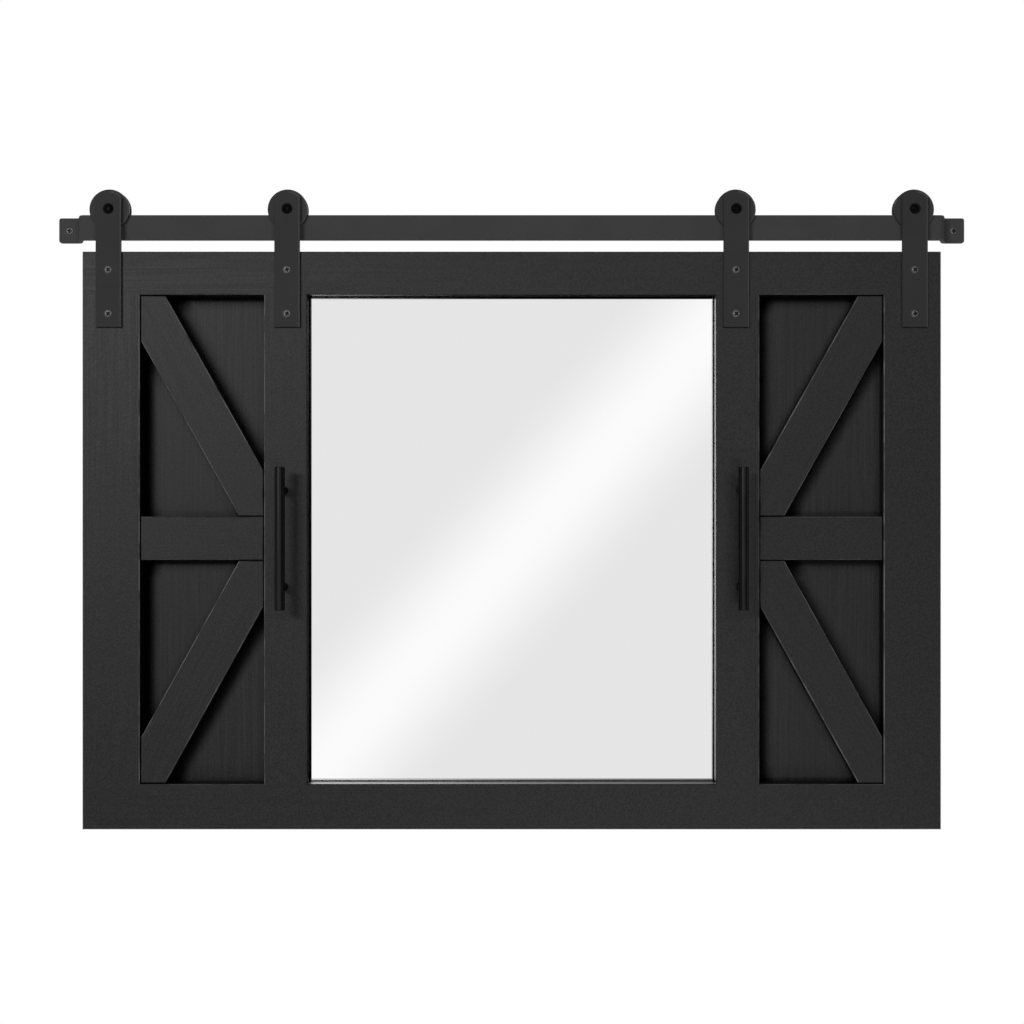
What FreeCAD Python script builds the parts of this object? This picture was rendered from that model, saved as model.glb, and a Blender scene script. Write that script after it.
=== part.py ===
import FreeCAD, Part
import math
import os

# Barn door wall mirror: a braced wooden frame round a fixed mirror, hung by four grooved wheels
# from a flat steel rail that is screwed to the wall.
# Millimetres. +X points right seen from the front, +Y into the wall, +Z up.
# The origin lies on the wall plane, midway between the rail's two screw holes.

V = FreeCAD.Vector

# Wall rail: one flat bar, its ends joggled back to tabs that lie on the wall
rail_height = 25.0
rail_thickness = 4.0
rail_run_out = 10.5  # rim of the outer wheel to the bar's front bend
web_lean = 5.9  # how far the slanted web runs outward on its way to the wall
tab_root = 9.3  # screw hole to the foot of the web
tab_end = 10.3  # screw hole to the end of the bar
tab_corner = 2.5
bend_radius = 2.5  # inside radius of each bend
rail_hole_radius = 2.25
rail_sink_radius = 4.5

# Grooved wheels
wheel_radius = 20.0
wheel_hub_radius = 4.8
flange_thickness = 3.0
flange_flare = 0.4  # the groove opens this much on each side towards the rim
rim_chamfer = 0.6
groove_clearance = 0.5  # rail face to flange, each side
tread_clearance = 0.3  # rail top to the hub of the wheel
running_gap = 0.2  # wheel face to washer

# Axle bolts, washers and lock nuts
axle_radius = 3.0
bore_clearance = 0.05
bolt_head_radius = 5.4
bolt_head_height = 3.2
bolt_socket_flats = 4.0
bolt_socket_depth = 2.0
bolt_tail = 1.0  # bolt end beyond the nut
washer_radius = 6.0
washer_thickness = 1.0
nut_flats = 10.0
nut_hex_height = 4.0
nut_collar_radius = 4.4
nut_collar_height = 2.0

# Hanger straps
strap_width = 25.4
strap_thickness = 3.0
strap_crown = 17.3  # radius of the round head, about the axle
strap_edge = 0.4
strap_screw_drop = 18.5  # frame top to the upper screw
strap_screw_pitch = 43.8
strap_end = 13.5  # lower screw to the strap's square end
outer_hanger_shift = 2.0  # axle outward of the outer stile's centre line
inner_hanger_shift = -1.7  # axle outward of the inner stile's centre line

# Wooden frame
frame_width = 857.4
frame_height = 577.1
frame_thickness = 23.0
frame_drop = 12.2  # bottom of the wall rail to the top of the frame
top_rail_width = 43.1
bottom_rail_width = 45.3
outer_stile_width = 57.2
inner_stile_width = 43.3
panel_opening = 124.2
mid_rail_width = 43.4
mid_rail_rise = 1.1  # mid rail's centre above the middle of the opening
brace_width = 43.3
brace_setback = 1.0  # braces and mid rails behind the frame's face
fit_gap = 0.8  # braces and mid rails to the boards round them
edge_easing = 1.0

# Dowels in the butt joints
dowel_radius = 4.0
dowel_length = 40.0
dowel_end_gap = 1.0

# Mirror, backing board and side panels, each in a rebate at the back
glass_thickness = 3.0
glass_ledge = 6.0  # glass rebate beyond the opening
backing_thickness = 3.0
backing_ledge = 14.0  # backing rebate beyond the opening
panel_thickness = 4.5
panel_ledge = 8.0  # panel rebate beyond the opening
edge_clearance = 0.5  # glass, backing and panel to the ends of their rebates

# Screws
screw_clearance = 0.05
strap_screw_head = 3.5  # radius
strap_screw_shank = 1.75  # radius
strap_screw_length = 19.0
back_screw_head = 2.8  # radius
back_screw_shank = 1.5  # radius
panel_screw_length = 16.0
backing_screw_length = 12.0
screw_rim = 0.5  # straight rim of each countersunk head
screw_point = 2.5  # length of each tapered point
panel_screw_pitch = 360.0
mid_rail_screw_pitch = 70.0
brace_screw_pitch = 120.0
backing_screw_rise = 260.0  # along the stiles
backing_screw_run = 200.0  # along the rails

# Bar handles
handle_shift = 2.2  # outward of the inner stile's centre line
handle_bar_radius = 5.0
handle_bar_length = 141.0
handle_bar_chamfer = 0.6
handle_projection = 25.0  # bar's axis in front of the frame's face
handle_post_radius = 4.0
handle_post_pitch = 96.0
handle_screw_radius = 2.0
handle_screw_engagement = 10.0
handle_screw_head_radius = 3.8
handle_screw_head_height = 2.4
handle_counterbore = 3.0
handle_counterbore_radius = 4.4

# Wall bumpers
bumper_radius = 6.0
bumper_thickness = 2.7
bumper_inset = 22.0

tiny = 1e-4  # below this two places count as one

# Depths: the wall is at zero, and the rail stands where the wheels behind the straps need it
back = -bumper_thickness
face = back - frame_thickness
strap_front = face - strap_thickness
wheel_front = face + washer_thickness + running_gap
groove_front = wheel_front + flange_thickness
rail_front = groove_front + groove_clearance
rail_back = rail_front + rail_thickness
groove_back = rail_back + groove_clearance
wheel_back = groove_back + flange_thickness
nut_front = wheel_back + running_gap + washer_thickness
collar_front = nut_front + nut_hex_height
nut_back = collar_front + nut_collar_height
glass_front = back - backing_thickness - glass_thickness
panel_front = back - panel_thickness
brace_front = face + brace_setback
bar_axis = face - handle_projection

# Heights
axle_z = rail_height / 2 + tread_clearance + wheel_hub_radius
frame_top = -rail_height / 2 - frame_drop
frame_bottom = frame_top - frame_height
opening_top = frame_top - top_rail_width
opening_bottom = frame_bottom + bottom_rail_width
opening_middle = (opening_top + opening_bottom) / 2
mid_rail_z = opening_middle + mid_rail_rise
mid_rail_top = mid_rail_z + mid_rail_width / 2
mid_rail_bottom = mid_rail_z - mid_rail_width / 2

# Widths, as distances from the middle
outer_edge = frame_width / 2
panel_outer = outer_edge - outer_stile_width
panel_inner = panel_outer - panel_opening
mirror_edge = panel_inner - inner_stile_width
outer_stile_x = (outer_edge + panel_outer) / 2
inner_stile_x = (panel_inner + mirror_edge) / 2
outer_hanger_x = outer_stile_x + outer_hanger_shift
inner_hanger_x = inner_stile_x + inner_hanger_shift
handle_x = inner_stile_x + handle_shift
rail_bend_x = outer_hanger_x + wheel_radius + rail_run_out
tab_root_x = rail_bend_x + web_lean
rail_hole_x = tab_root_x + tab_root
rail_end_x = rail_hole_x + tab_end

strap_screw = (strap_screw_head, strap_screw_shank, strap_screw_length)
panel_screw = (back_screw_head, back_screw_shank, panel_screw_length)
backing_screw = (back_screw_head, back_screw_shank, backing_screw_length)
hangers = {
    "left_outer": -outer_hanger_x,
    "left_inner": -inner_hanger_x,
    "right_inner": inner_hanger_x,
    "right_outer": outer_hanger_x,
}
sides = {"left": -1, "right": 1}


def box(x0, x1, y0, y1, z0, z1):
    return Part.makeBox(x1 - x0, y1 - y0, z1 - z0, V(x0, y0, z0))


def rod(radius, x, z, y0, y1):
    """Round bar along the depth."""
    return Part.makeCylinder(radius, y1 - y0, V(x, y0, z), V(0, 1, 0))


def upright_rod(radius, x, y, z0, z1):
    return Part.makeCylinder(radius, z1 - z0, V(x, y, z0), V(0, 0, 1))


def turned(edges, x, z):
    """Solid turned about the depth axis through x, z from a closed outline of edges in radius and depth."""
    outline = Part.Face(Part.Wire(edges))
    solid = outline.revolve(V(0, 0, 0), V(0, 1, 0), 360)
    solid.translate(V(x, 0, z))
    return solid


def outline_edges(points):
    """Straight edges round a closed list of radius and depth points."""
    corners = [V(radius, depth, 0) for radius, depth in points]
    return [Part.makeLine(a, b) for a, b in zip(corners, corners[1:] + corners[:1])]


def plate(points, y0, y1):
    """Flat plate from a list of x, z corners, between two depths."""
    corners = [V(x, y0, z) for x, z in points]
    outline = Part.makePolygon(corners + corners[:1])
    return Part.Face(outline).extrude(V(0, y1 - y0, 0))


def hexagon(across_flats, x, z, y0, y1):
    radius = across_flats / math.sqrt(3)
    angles = [math.radians(60 * step) for step in range(6)]
    corners = [(x + radius * math.cos(a), z + radius * math.sin(a)) for a in angles]
    return plate(corners, y0, y1)


def front_edges(shape):
    """Edges that lie wholly in the shape's foremost plane."""
    front = shape.BoundBox.YMin
    return [e for e in shape.Edges if e.BoundBox.YMax - front < tiny]


def upright_edge(shape, x, y):
    """The vertical edge that passes through x, y."""
    spot = Part.Vertex(V(x, y, 0))
    upright = [e for e in shape.Edges if e.BoundBox.ZLength > rail_height / 2]
    return min(upright, key=lambda e: e.distToShape(spot)[0])


def wall_rail():
    """Bent strip: half of its plan outline, mirrored and raised to the bar's height, rounded at each bend."""
    slant = web_lean / -rail_back
    web_shift = rail_thickness * (slant - math.hypot(1, slant))
    front_bend = (rail_bend_x, rail_front)
    front_root = (tab_root_x, -rail_thickness)
    rear_bend = (rail_bend_x + web_shift, rail_back)
    rear_root = (tab_root_x + web_shift, 0)
    half = [front_bend, front_root, (rail_end_x, -rail_thickness), (rail_end_x, 0), rear_root, rear_bend]
    plan = half + [(-x, y) for x, y in reversed(half)]
    corners = [V(x, y, -rail_height / 2) for x, y in plan]
    bar = Part.Face(Part.makePolygon(corners + corners[:1])).extrude(V(0, 0, rail_height))
    bends = {bend_radius: (front_root, rear_bend), bend_radius + rail_thickness: (front_bend, rear_root)}
    for radius, places in bends.items():
        for sign in sides.values():
            bar = bar.makeFillet(radius, [upright_edge(bar, sign * x, y) for x, y in places])
    bar = bar.makeFillet(tab_corner, end_corners(bar))
    return bar.cut([rail_hole(sign * rail_hole_x) for sign in sides.values()])


def end_corners(bar):
    """The four short edges at the ends of the bar."""
    ends = [e for e in bar.Edges if rail_end_x - abs(e.CenterOfMass.x) < tiny]
    return [e for e in ends if e.BoundBox.ZLength < tiny]


def rail_hole(x):
    """Countersunk through hole in a tab."""
    sink_depth = rail_sink_radius - rail_hole_radius
    points = [
        (0, -rail_thickness),
        (rail_sink_radius, -rail_thickness),
        (rail_hole_radius, sink_depth - rail_thickness),
        (rail_hole_radius, 0),
        (0, 0),
    ]
    return turned(outline_edges(points), x, 0)


def grooved_wheel(x):
    """Spool: two flanges that straddle the rail, and the hub between them that rolls on its top edge."""
    bore = axle_radius + bore_clearance
    points = [
        (bore, wheel_front),
        (wheel_radius - rim_chamfer, wheel_front),
        (wheel_radius, wheel_front + rim_chamfer),
        (wheel_radius, groove_front - flange_flare),
        (wheel_hub_radius, groove_front),
        (wheel_hub_radius, groove_back),
        (wheel_radius, groove_back + flange_flare),
        (wheel_radius, wheel_back - rim_chamfer),
        (wheel_radius - rim_chamfer, wheel_back),
        (bore, wheel_back),
    ]
    return turned(outline_edges(points), x, axle_z)


def hanger_strap(x):
    """Flat bar with a round head about the axle and a square tail on the frame's face."""
    half = strap_width / 2
    shoulder = axle_z + math.sqrt(strap_crown**2 - half**2)
    tail = strap_screw_heights()[-1] - strap_end
    corners = [V(x - half, strap_front, shoulder), V(x - half, strap_front, tail)]
    corners += [V(x + half, strap_front, tail), V(x + half, strap_front, shoulder)]
    crown = V(x, strap_front, axle_z + strap_crown)
    edges = [Part.makeLine(a, b) for a, b in zip(corners, corners[1:])]
    edges.append(Part.Arc(corners[3], crown, corners[0]).toShape())
    bar = Part.Face(Part.Wire(edges)).extrude(V(0, strap_thickness, 0))
    bar = bar.makeChamfer(strap_edge, front_edges(bar))
    holes = [rod(axle_radius + bore_clearance, x, axle_z, strap_front, face)]
    holes += [strap_screw_at(x, z, screw_clearance) for z in strap_screw_heights()]
    return bar.cut(holes)


def strap_screw_heights():
    upper = frame_top - strap_screw_drop
    return [upper, upper - strap_screw_pitch]


def countersunk(size, clearance, x, z, head, inward):
    """Screw, or its hole when given a clearance: head plane at depth head, running to inward, 1 or -1."""
    head_radius, shank, length = (value + clearance for value in size)
    cone = screw_rim + head_radius - shank
    points = [
        (0, 0),
        (head_radius, 0),
        (head_radius, screw_rim),
        (shank, cone),
        (shank, length - screw_point),
        (0, length),
    ]
    return turned(outline_edges([(r, head + inward * y) for r, y in points]), x, z)


def strap_screw_at(x, z, clearance=0.0):
    return countersunk(strap_screw, clearance, x, z, strap_front, 1)


def strap_screws(clearance=0.0):
    return [strap_screw_at(x, z, clearance) for x in hangers.values() for z in strap_screw_heights()]


def axle_bolt(x):
    """Button head bolt: a domed head with a hexagon socket, and a plain shank to behind the nut."""
    dome = (bolt_head_radius**2 + bolt_head_height**2) / (2 * bolt_head_height)
    half_angle = math.asin(bolt_head_radius / dome) / 2
    top = strap_front - bolt_head_height
    crown = V(0, top, 0)
    flank = V(dome * math.sin(half_angle), top + dome * (1 - math.cos(half_angle)), 0)
    rim = V(bolt_head_radius, strap_front, 0)
    neck = V(axle_radius, strap_front, 0)
    tip = V(axle_radius, nut_back + bolt_tail, 0)
    end = V(0, nut_back + bolt_tail, 0)
    edges = [Part.Arc(crown, flank, rim).toShape()]
    edges += [Part.makeLine(a, b) for a, b in [(rim, neck), (neck, tip), (tip, end), (end, crown)]]
    socket = hexagon(bolt_socket_flats, x, axle_z, top - bolt_socket_depth, top + bolt_socket_depth)
    return turned(edges, x, axle_z).cut(socket)


def washer(x, y0):
    ring = rod(washer_radius, x, axle_z, y0, y0 + washer_thickness)
    return ring.cut(rod(axle_radius + bore_clearance, x, axle_z, y0, y0 + washer_thickness))


def axle_washers():
    """One washer between each strap and wheel, one between each wheel and nut."""
    return [washer(x, y0) for x in hangers.values() for y0 in (face, wheel_back + running_gap)]


def lock_nut(x):
    """Hexagon nut with a round locking collar behind."""
    nut = hexagon(nut_flats, x, axle_z, nut_front, collar_front)
    nut = nut.fuse(rod(nut_collar_radius, x, axle_z, collar_front, nut_back))
    return nut.cut(rod(axle_radius + bore_clearance, x, axle_z, nut_front, nut_back)).removeSplitter()


def flared_window(x0, x1, z0, z1, flare):
    """Cutter for an opening's front edge: wider by flare at the frame's face, its own size behind."""
    grow = 2 * flare
    front = face - edge_easing
    rear = face + edge_easing
    return Part.makeWedge(x0 - grow, front, z0 - grow, z0, x0, x1 + grow, rear, z1 + grow, z1, x1)


def outer_easing():
    """Cutter for the frame's outer front edges."""
    margin = 4 * edge_easing
    xs = (-outer_edge - margin, outer_edge + margin)
    rim = box(*xs, face - edge_easing, face + edge_easing, frame_bottom - margin, frame_top + margin)
    return rim.cut(flared_window(-outer_edge, outer_edge, frame_bottom, frame_top, -edge_easing))


def rebate(x0, x1, ledge, depth):
    """Cutter for a rebate round an opening, from the frame's back."""
    return box(x0 - ledge, x1 + ledge, back - depth, back, opening_bottom - ledge, opening_top + ledge)


def panel_span(side):
    """Left and right edge of one side's panel opening."""
    return sorted((sides[side] * panel_inner, sides[side] * panel_outer))


def dowel_axes():
    """Centre line positions of the dowels: two in each end of each stile."""
    depth = (face + glass_front) / 2
    axes = []
    for sign in sides.values():
        for centre, width in ((outer_stile_x, outer_stile_width), (inner_stile_x, inner_stile_width)):
            for shift in (-width / 4, width / 4):
                axes += [(sign * centre + shift, depth, z) for z in (opening_bottom, opening_top)]
    return axes


def dowels(clearance=0.0, end_gap=0.0):
    half = dowel_length / 2 + end_gap
    radius = dowel_radius + clearance
    return [upright_rod(radius, x, y, z - half, z + half) for x, y, z in dowel_axes()]


def panel_screw_spots():
    """Back screw positions: panel edges on the stiles, then each mid rail, then each brace."""
    spots = []
    for side, sign in sides.items():
        x0, x1 = panel_span(side)
        for x in (x0 - panel_ledge / 2, x1 + panel_ledge / 2):
            spots += [(x, opening_middle + way * panel_screw_pitch / 2) for way in (-1, 1)]
        spots += [((x0 + x1) / 2 + way * mid_rail_screw_pitch / 2, mid_rail_z) for way in (-1, 1)]
        for (xa, za), (xb, zb) in brace_ends(sign):
            share = brace_screw_pitch / math.hypot(xb - xa, zb - za)
            for way in (-1, 1):
                x = (xa + xb + way * share * (xb - xa)) / 2
                z = (za + zb + way * share * (zb - za)) / 2
                spots.append((x, z))
    return spots


def panel_screws(clearance=0.0):
    return [countersunk(panel_screw, clearance, x, z, back, -1) for x, z in panel_screw_spots()]


def backing_screws(clearance=0.0):
    """Screws through the margin of the backing board, outside the glass."""
    margin = (glass_ledge + backing_ledge) / 2
    spots = []
    for way in (-1, 1):
        rise = opening_middle + way * backing_screw_rise / 2
        run = way * backing_screw_run / 2
        spots += [(x, rise) for x in (-mirror_edge - margin, mirror_edge + margin)]
        spots += [(run, z) for z in (opening_bottom - margin, opening_top + margin)]
    return [countersunk(backing_screw, clearance, x, z, back, -1) for x, z in spots]


def handle_spots():
    """Post positions of both handles."""
    rises = (-handle_post_pitch / 2, handle_post_pitch / 2)
    return [(sign * handle_x, mid_rail_z + rise) for sign in sides.values() for rise in rises]


def handle_bore(x, z):
    """Hole through the inner stile for a handle screw, counterbored at the back."""
    shaft = rod(handle_screw_radius + screw_clearance, x, z, face, back)
    return shaft.fuse(rod(handle_counterbore_radius, x, z, back - handle_counterbore, back))


def frame_cutters():
    """Everything that is cut out of the frame's boards."""
    cutters = [outer_easing()]
    cutters.append(flared_window(-mirror_edge, mirror_edge, opening_bottom, opening_top, edge_easing))
    cutters.append(rebate(-mirror_edge, mirror_edge, glass_ledge, back - glass_front))
    cutters.append(rebate(-mirror_edge, mirror_edge, backing_ledge, backing_thickness))
    for side in sides:
        x0, x1 = panel_span(side)
        cutters.append(flared_window(x0, x1, opening_bottom, opening_top, edge_easing))
        cutters.append(rebate(x0, x1, panel_ledge, panel_thickness))
    cutters += dowels(screw_clearance, dowel_end_gap)
    cutters += strap_screws(screw_clearance)
    cutters += panel_screws(screw_clearance)
    cutters += backing_screws(screw_clearance)
    cutters += [handle_bore(x, z) for x, z in handle_spots()]
    return cutters


def shaped(board, cutters):
    """Board with every cutter that reaches it taken away."""
    reaching = [c for c in cutters if c.BoundBox.intersect(board.BoundBox)]
    return board.cut(reaching).removeSplitter() if reaching else board


def frame_boards():
    """Two full-width rails with four stiles butted between them."""
    boards = {
        "top_rail": box(-outer_edge, outer_edge, face, back, opening_top, frame_top),
        "bottom_rail": box(-outer_edge, outer_edge, face, back, frame_bottom, opening_bottom),
    }
    for side, sign in sides.items():
        for name, inner, outer in (("outer", panel_outer, outer_edge), ("inner", mirror_edge, panel_inner)):
            x0, x1 = sorted((sign * inner, sign * outer))
            boards[f"{side}_{name}_stile"] = box(x0, x1, face, back, opening_bottom, opening_top)
    return boards


def brace_ends(sign):
    """Corner to corner ends of one side's upper and lower brace."""
    upper = ((sign * panel_outer, opening_top), (sign * panel_inner, mid_rail_top))
    lower = ((sign * panel_inner, mid_rail_bottom), (sign * panel_outer, opening_bottom))
    return upper, lower


def brace(ends):
    """Board along a diagonal, trimmed at both ends to the two members that meet in each corner."""
    start, end = (V(x, 0, z) for x, z in ends)
    along = (end - start).normalize()
    across = V(-along.z, 0, along.x) * (brace_width / 2)
    reach = along * brace_width
    corners = [start - reach + across, end + reach + across, end + reach - across, start - reach - across]
    strip = plate([(c.x, c.z) for c in corners], brace_front, panel_front)
    x0, x1 = sorted((start.x, end.x))
    z0, z1 = sorted((start.z, end.z))
    window = box(x0 + fit_gap, x1 - fit_gap, brace_front, panel_front, z0 + fit_gap, z1 - fit_gap)
    board = strip.common(window)
    return board.makeChamfer(edge_easing, front_edges(board))


def mid_rail(side):
    x0, x1 = panel_span(side)
    board = box(x0 + fit_gap, x1 - fit_gap, brace_front, panel_front, mid_rail_bottom, mid_rail_top)
    return board.makeChamfer(edge_easing, front_edges(board))


def side_panel(side):
    x0, x1 = panel_span(side)
    reach = panel_ledge - edge_clearance
    return box(x0 - reach, x1 + reach, panel_front, back, opening_bottom - reach, opening_top + reach)


def mirror_sheet(ledge, y0, y1):
    """Sheet behind the mirror opening, held by a ledge."""
    reach = ledge - edge_clearance
    half = mirror_edge + reach
    return box(-half, half, y0, y1, opening_bottom - reach, opening_top + reach)


def handle_bar(sign):
    half = handle_bar_length / 2
    bar = upright_rod(handle_bar_radius, sign * handle_x, bar_axis, mid_rail_z - half, mid_rail_z + half)
    ends = [e for e in bar.Edges if e.BoundBox.ZLength < tiny]
    return bar.makeChamfer(handle_bar_chamfer, ends)


def handle_post(x, z):
    """Round post, saddled onto the bar and bored for its screw."""
    post = rod(handle_post_radius, x, z, bar_axis, face)
    reach = 2 * handle_post_radius
    saddle = upright_rod(handle_bar_radius, x, bar_axis, z - reach, z + reach)
    bore = rod(handle_screw_radius + screw_clearance, x, z, face - handle_screw_engagement, face)
    return post.cut([saddle, bore])


def handle_screw(x, z):
    """Pan head screw from the back of the stile into a post."""
    seat = back - handle_counterbore
    shaft = rod(handle_screw_radius, x, z, face - handle_screw_engagement, seat)
    return shaft.fuse(rod(handle_screw_head_radius, x, z, seat, seat + handle_screw_head_height))


def wall_bumper(sign):
    """Felt disc that keeps the hanging frame's lower edge off the wall."""
    return rod(bumper_radius, sign * (outer_edge - bumper_inset), frame_bottom + bumper_inset, back, 0)


def side_pieces(side, sign):
    """Panel with the mid rail and braces that lie on it, drilled for the screws from behind."""
    holes = panel_screws(screw_clearance)
    upper, lower = brace_ends(sign)
    pieces = {
        f"{side}_panel": side_panel(side),
        f"{side}_mid_rail": mid_rail(side),
        f"{side}_upper_brace": brace(upper),
        f"{side}_lower_brace": brace(lower),
    }
    drilled = {name: shaped(piece, holes) for name, piece in pieces.items()}
    drilled[f"{side}_handle_bar"] = handle_bar(sign)
    return drilled


def build_nodes():
    """All sub-parts by name."""
    cutters = frame_cutters()
    nodes = {"wall_rail": wall_rail()}
    nodes.update({name: shaped(board, cutters) for name, board in frame_boards().items()})
    for side, sign in sides.items():
        nodes.update(side_pieces(side, sign))
    nodes["mirror_glass"] = mirror_sheet(glass_ledge, glass_front, glass_front + glass_thickness)
    backing = mirror_sheet(backing_ledge, back - backing_thickness, back)
    nodes["mirror_backing"] = shaped(backing, backing_screws(screw_clearance))
    for name, x in hangers.items():
        nodes[f"{name}_strap"] = hanger_strap(x)
        nodes[f"{name}_wheel"] = grooved_wheel(x)
    groups = {
        "frame_dowels": dowels(),
        "panel_screws": panel_screws(),
        "backing_screws": backing_screws(),
        "strap_screws": strap_screws(),
        "axle_bolts": [axle_bolt(x) for x in hangers.values()],
        "axle_washers": axle_washers(),
        "axle_nuts": [lock_nut(x) for x in hangers.values()],
        "handle_posts": [handle_post(x, z) for x, z in handle_spots()],
        "handle_screws": [handle_screw(x, z) for x, z in handle_spots()],
        "wall_bumpers": [wall_bumper(sign) for sign in sides.values()],
    }
    nodes.update({name: Part.makeCompound(pieces) for name, pieces in groups.items()})
    return nodes


def main():
    os.makedirs("parts", exist_ok=True)
    for name, shape in build_nodes().items():
        shape.exportStep(f"parts/{name}.step")
    print(f"rail screw holes {2 * rail_hole_x:.2f} apart, axles at height {axle_z:.2f}")
    print(f"axles {outer_hanger_x:.2f} and {inner_hanger_x:.2f} from the middle")
    print(f"frame face at {face:.2f}, handles at {handle_x:.2f} and {mid_rail_z:.2f}")


main()
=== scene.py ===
import math

import bmesh
import bpy
from bpy.props import FloatProperty, FloatVectorProperty, PointerProperty
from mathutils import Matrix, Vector


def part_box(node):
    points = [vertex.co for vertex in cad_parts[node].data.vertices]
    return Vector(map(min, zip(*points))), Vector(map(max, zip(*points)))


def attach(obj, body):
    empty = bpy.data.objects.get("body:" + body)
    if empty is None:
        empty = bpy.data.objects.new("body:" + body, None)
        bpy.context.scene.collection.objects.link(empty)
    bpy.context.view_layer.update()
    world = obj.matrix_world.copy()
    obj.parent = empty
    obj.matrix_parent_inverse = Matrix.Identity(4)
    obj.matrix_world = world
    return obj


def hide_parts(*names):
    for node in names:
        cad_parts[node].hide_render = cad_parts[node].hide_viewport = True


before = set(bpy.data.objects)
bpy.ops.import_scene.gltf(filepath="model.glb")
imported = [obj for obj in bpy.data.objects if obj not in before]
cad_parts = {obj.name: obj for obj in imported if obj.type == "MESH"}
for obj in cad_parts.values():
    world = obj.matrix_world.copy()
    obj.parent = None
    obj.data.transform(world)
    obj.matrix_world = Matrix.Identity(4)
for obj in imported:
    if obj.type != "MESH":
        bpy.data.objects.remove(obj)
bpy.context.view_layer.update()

bl_info = {
    "name": "Barn door wall mirror",
    "version": (1, 0, 0),
    "blender": (4, 5, 0),
    "location": "View3D > Sidebar > Barn mirror",
    "description": "Finishes, screws and studio of a black barn door wall mirror",
    "category": "Object",
}

MM = 0.001
SIDES = ("left", "right")
HANGERS = ("left_outer", "left_inner", "right_inner", "right_outer")
BLACK = (0.0, 0.0, 0.0, 1.0)
WHITE = (1.0, 1.0, 1.0, 1.0)

# Depths of the fronts, and the corners of the frame and of its opening, from the CAD model
FRAME_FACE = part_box("top_rail")[0].y
BRACE_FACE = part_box("left_mid_rail")[0].y
PANEL_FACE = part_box("left_panel")[0].y
GLASS_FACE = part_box("mirror_glass")[0].y
FRAME_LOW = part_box("bottom_rail")[0]
FRAME_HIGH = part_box("top_rail")[1]
OPENING_LOW = Vector((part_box("left_inner_stile")[1].x, 0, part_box("bottom_rail")[1].z))
OPENING_HIGH = Vector((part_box("right_inner_stile")[0].x, 0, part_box("top_rail")[0].z))

# Sockets of a Mix node, which has several of the same name
FACTOR = 0
NUMBER_A, NUMBER_B = 2, 3
COLOUR_A, COLOUR_B = 6, 7
MIXED_COLOUR = 2


def linear(code):
    """Linear colour with alpha from an sRGB hex code."""
    channels = [int(code[i:i + 2], 16) / 255 for i in (1, 3, 5)]
    return tuple(c / 12.92 if c <= 0.04045 else ((c + 0.055) / 1.055) ** 2.4 for c in channels) + (1.0,)


def add(tree, kind, values=None, links=None, stops=(), **settings):
    """One node with its settings, its input values, its links and, on a ramp, its colour stops. A link
    comes from a socket, or from the first output of a node."""
    node = tree.nodes.new(kind)
    for name, value in settings.items():
        setattr(node, name, value)
    for key, value in (values or {}).items():
        node.inputs[key].default_value = value
    for key, source in (links or {}).items():
        socket = source if isinstance(source, bpy.types.NodeSocket) else source.outputs[0]
        tree.links.new(socket, node.inputs[key])
    for i, (position, colour) in enumerate(stops):
        stop = node.color_ramp.elements[i] if i < 2 else node.color_ramp.elements.new(position)
        stop.position = position
        stop.color = colour
    return node


def emptied(owner):
    """The node tree of a new material, world or lamp, with nothing in it."""
    owner.use_nodes = True
    owner.node_tree.nodes.clear()
    return owner.node_tree


def new_finish(name):
    """An empty material; gives it, its tree and the spot on the surface in the object's own coordinates."""
    material = bpy.data.materials.new(name)
    tree = emptied(material)
    return material, tree, add(tree, "ShaderNodeTexCoord").outputs["Object"]


def surface(tree, values, links):
    """Ends a finish: its shader, with these values and links, on the output of the material."""
    shader = add(tree, "ShaderNodeBsdfPrincipled", values, links)
    add(tree, "ShaderNodeOutputMaterial", links={"Surface": shader})


def border(tree, spot, low, high, width):
    """1 on the rim of the upright rectangle from low to high and outside it, 0 further in."""
    centre, half = (low + high) / 2, (high - low) / 2
    inside = (half.x - width, 0, half.z - width)
    centred = add(tree, "ShaderNodeMapping", {"Location": centre}, {"Vector": spot}, vector_type="TEXTURE")
    away = add(tree, "ShaderNodeVectorMath", None, {0: centred}, operation="ABSOLUTE")
    past = add(tree, "ShaderNodeVectorMath", {1: inside}, {0: away}, operation="SUBTRACT")
    apart = add(tree, "ShaderNodeSeparateXYZ", None, {0: past})
    most = add(tree, "ShaderNodeMath", None, {0: apart.outputs["X"], 1: apart.outputs["Z"]},
               operation="MAXIMUM")
    return add(tree, "ShaderNodeMath", {1: 0.0}, {0: most}, operation="GREATER_THAN")


# Painted boards: growth rings at their real spacing, and fibres and grains of spray drawn wider than they
# are, so that they show. Rings and fibres run on for GRAIN_LENGTH times their width
GRAIN_LENGTH = 34
RING_SPACING = 6 * MM
RING_RELIEF = 0.5 * MM
FIBRE_WIDTH = 2.2 * MM
FIBRE_RELIEF = 0.25 * MM
SPRAY_GRAIN = 1.25 * MM
SPRAY_RELIEF = 0.12 * MM
DARKEST_PAINT, LIGHTEST_PAINT = 0.38, 0.62
SHEEN_BY_FIBRE = {"From Min": 0.3, "From Max": 0.7, "To Min": 0.47, "To Max": 0.55}
SIDE_ROUGHNESS = 0.4

# Their eased front edges, from 0 at the front to 1 at the side, and where they get a painted highlight with
# some wear
EASED_EDGE = 1.0 * MM
PAST_THE_EDGE = {"From Min": 0.5}
HIGHLIT_PART = ((0.02, BLACK), (0.1, WHITE), (0.8, WHITE), (0.95, BLACK))
HIGHLIGHT_PATCH = 18 * MM
PATCHY = {"From Min": 0.4, "From Max": 0.6, "To Min": 0.35}
LESS_ON_LEVEL_EDGES = {"From Min": 0.2, "From Max": 0.6, "To Min": 0.3}
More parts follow.
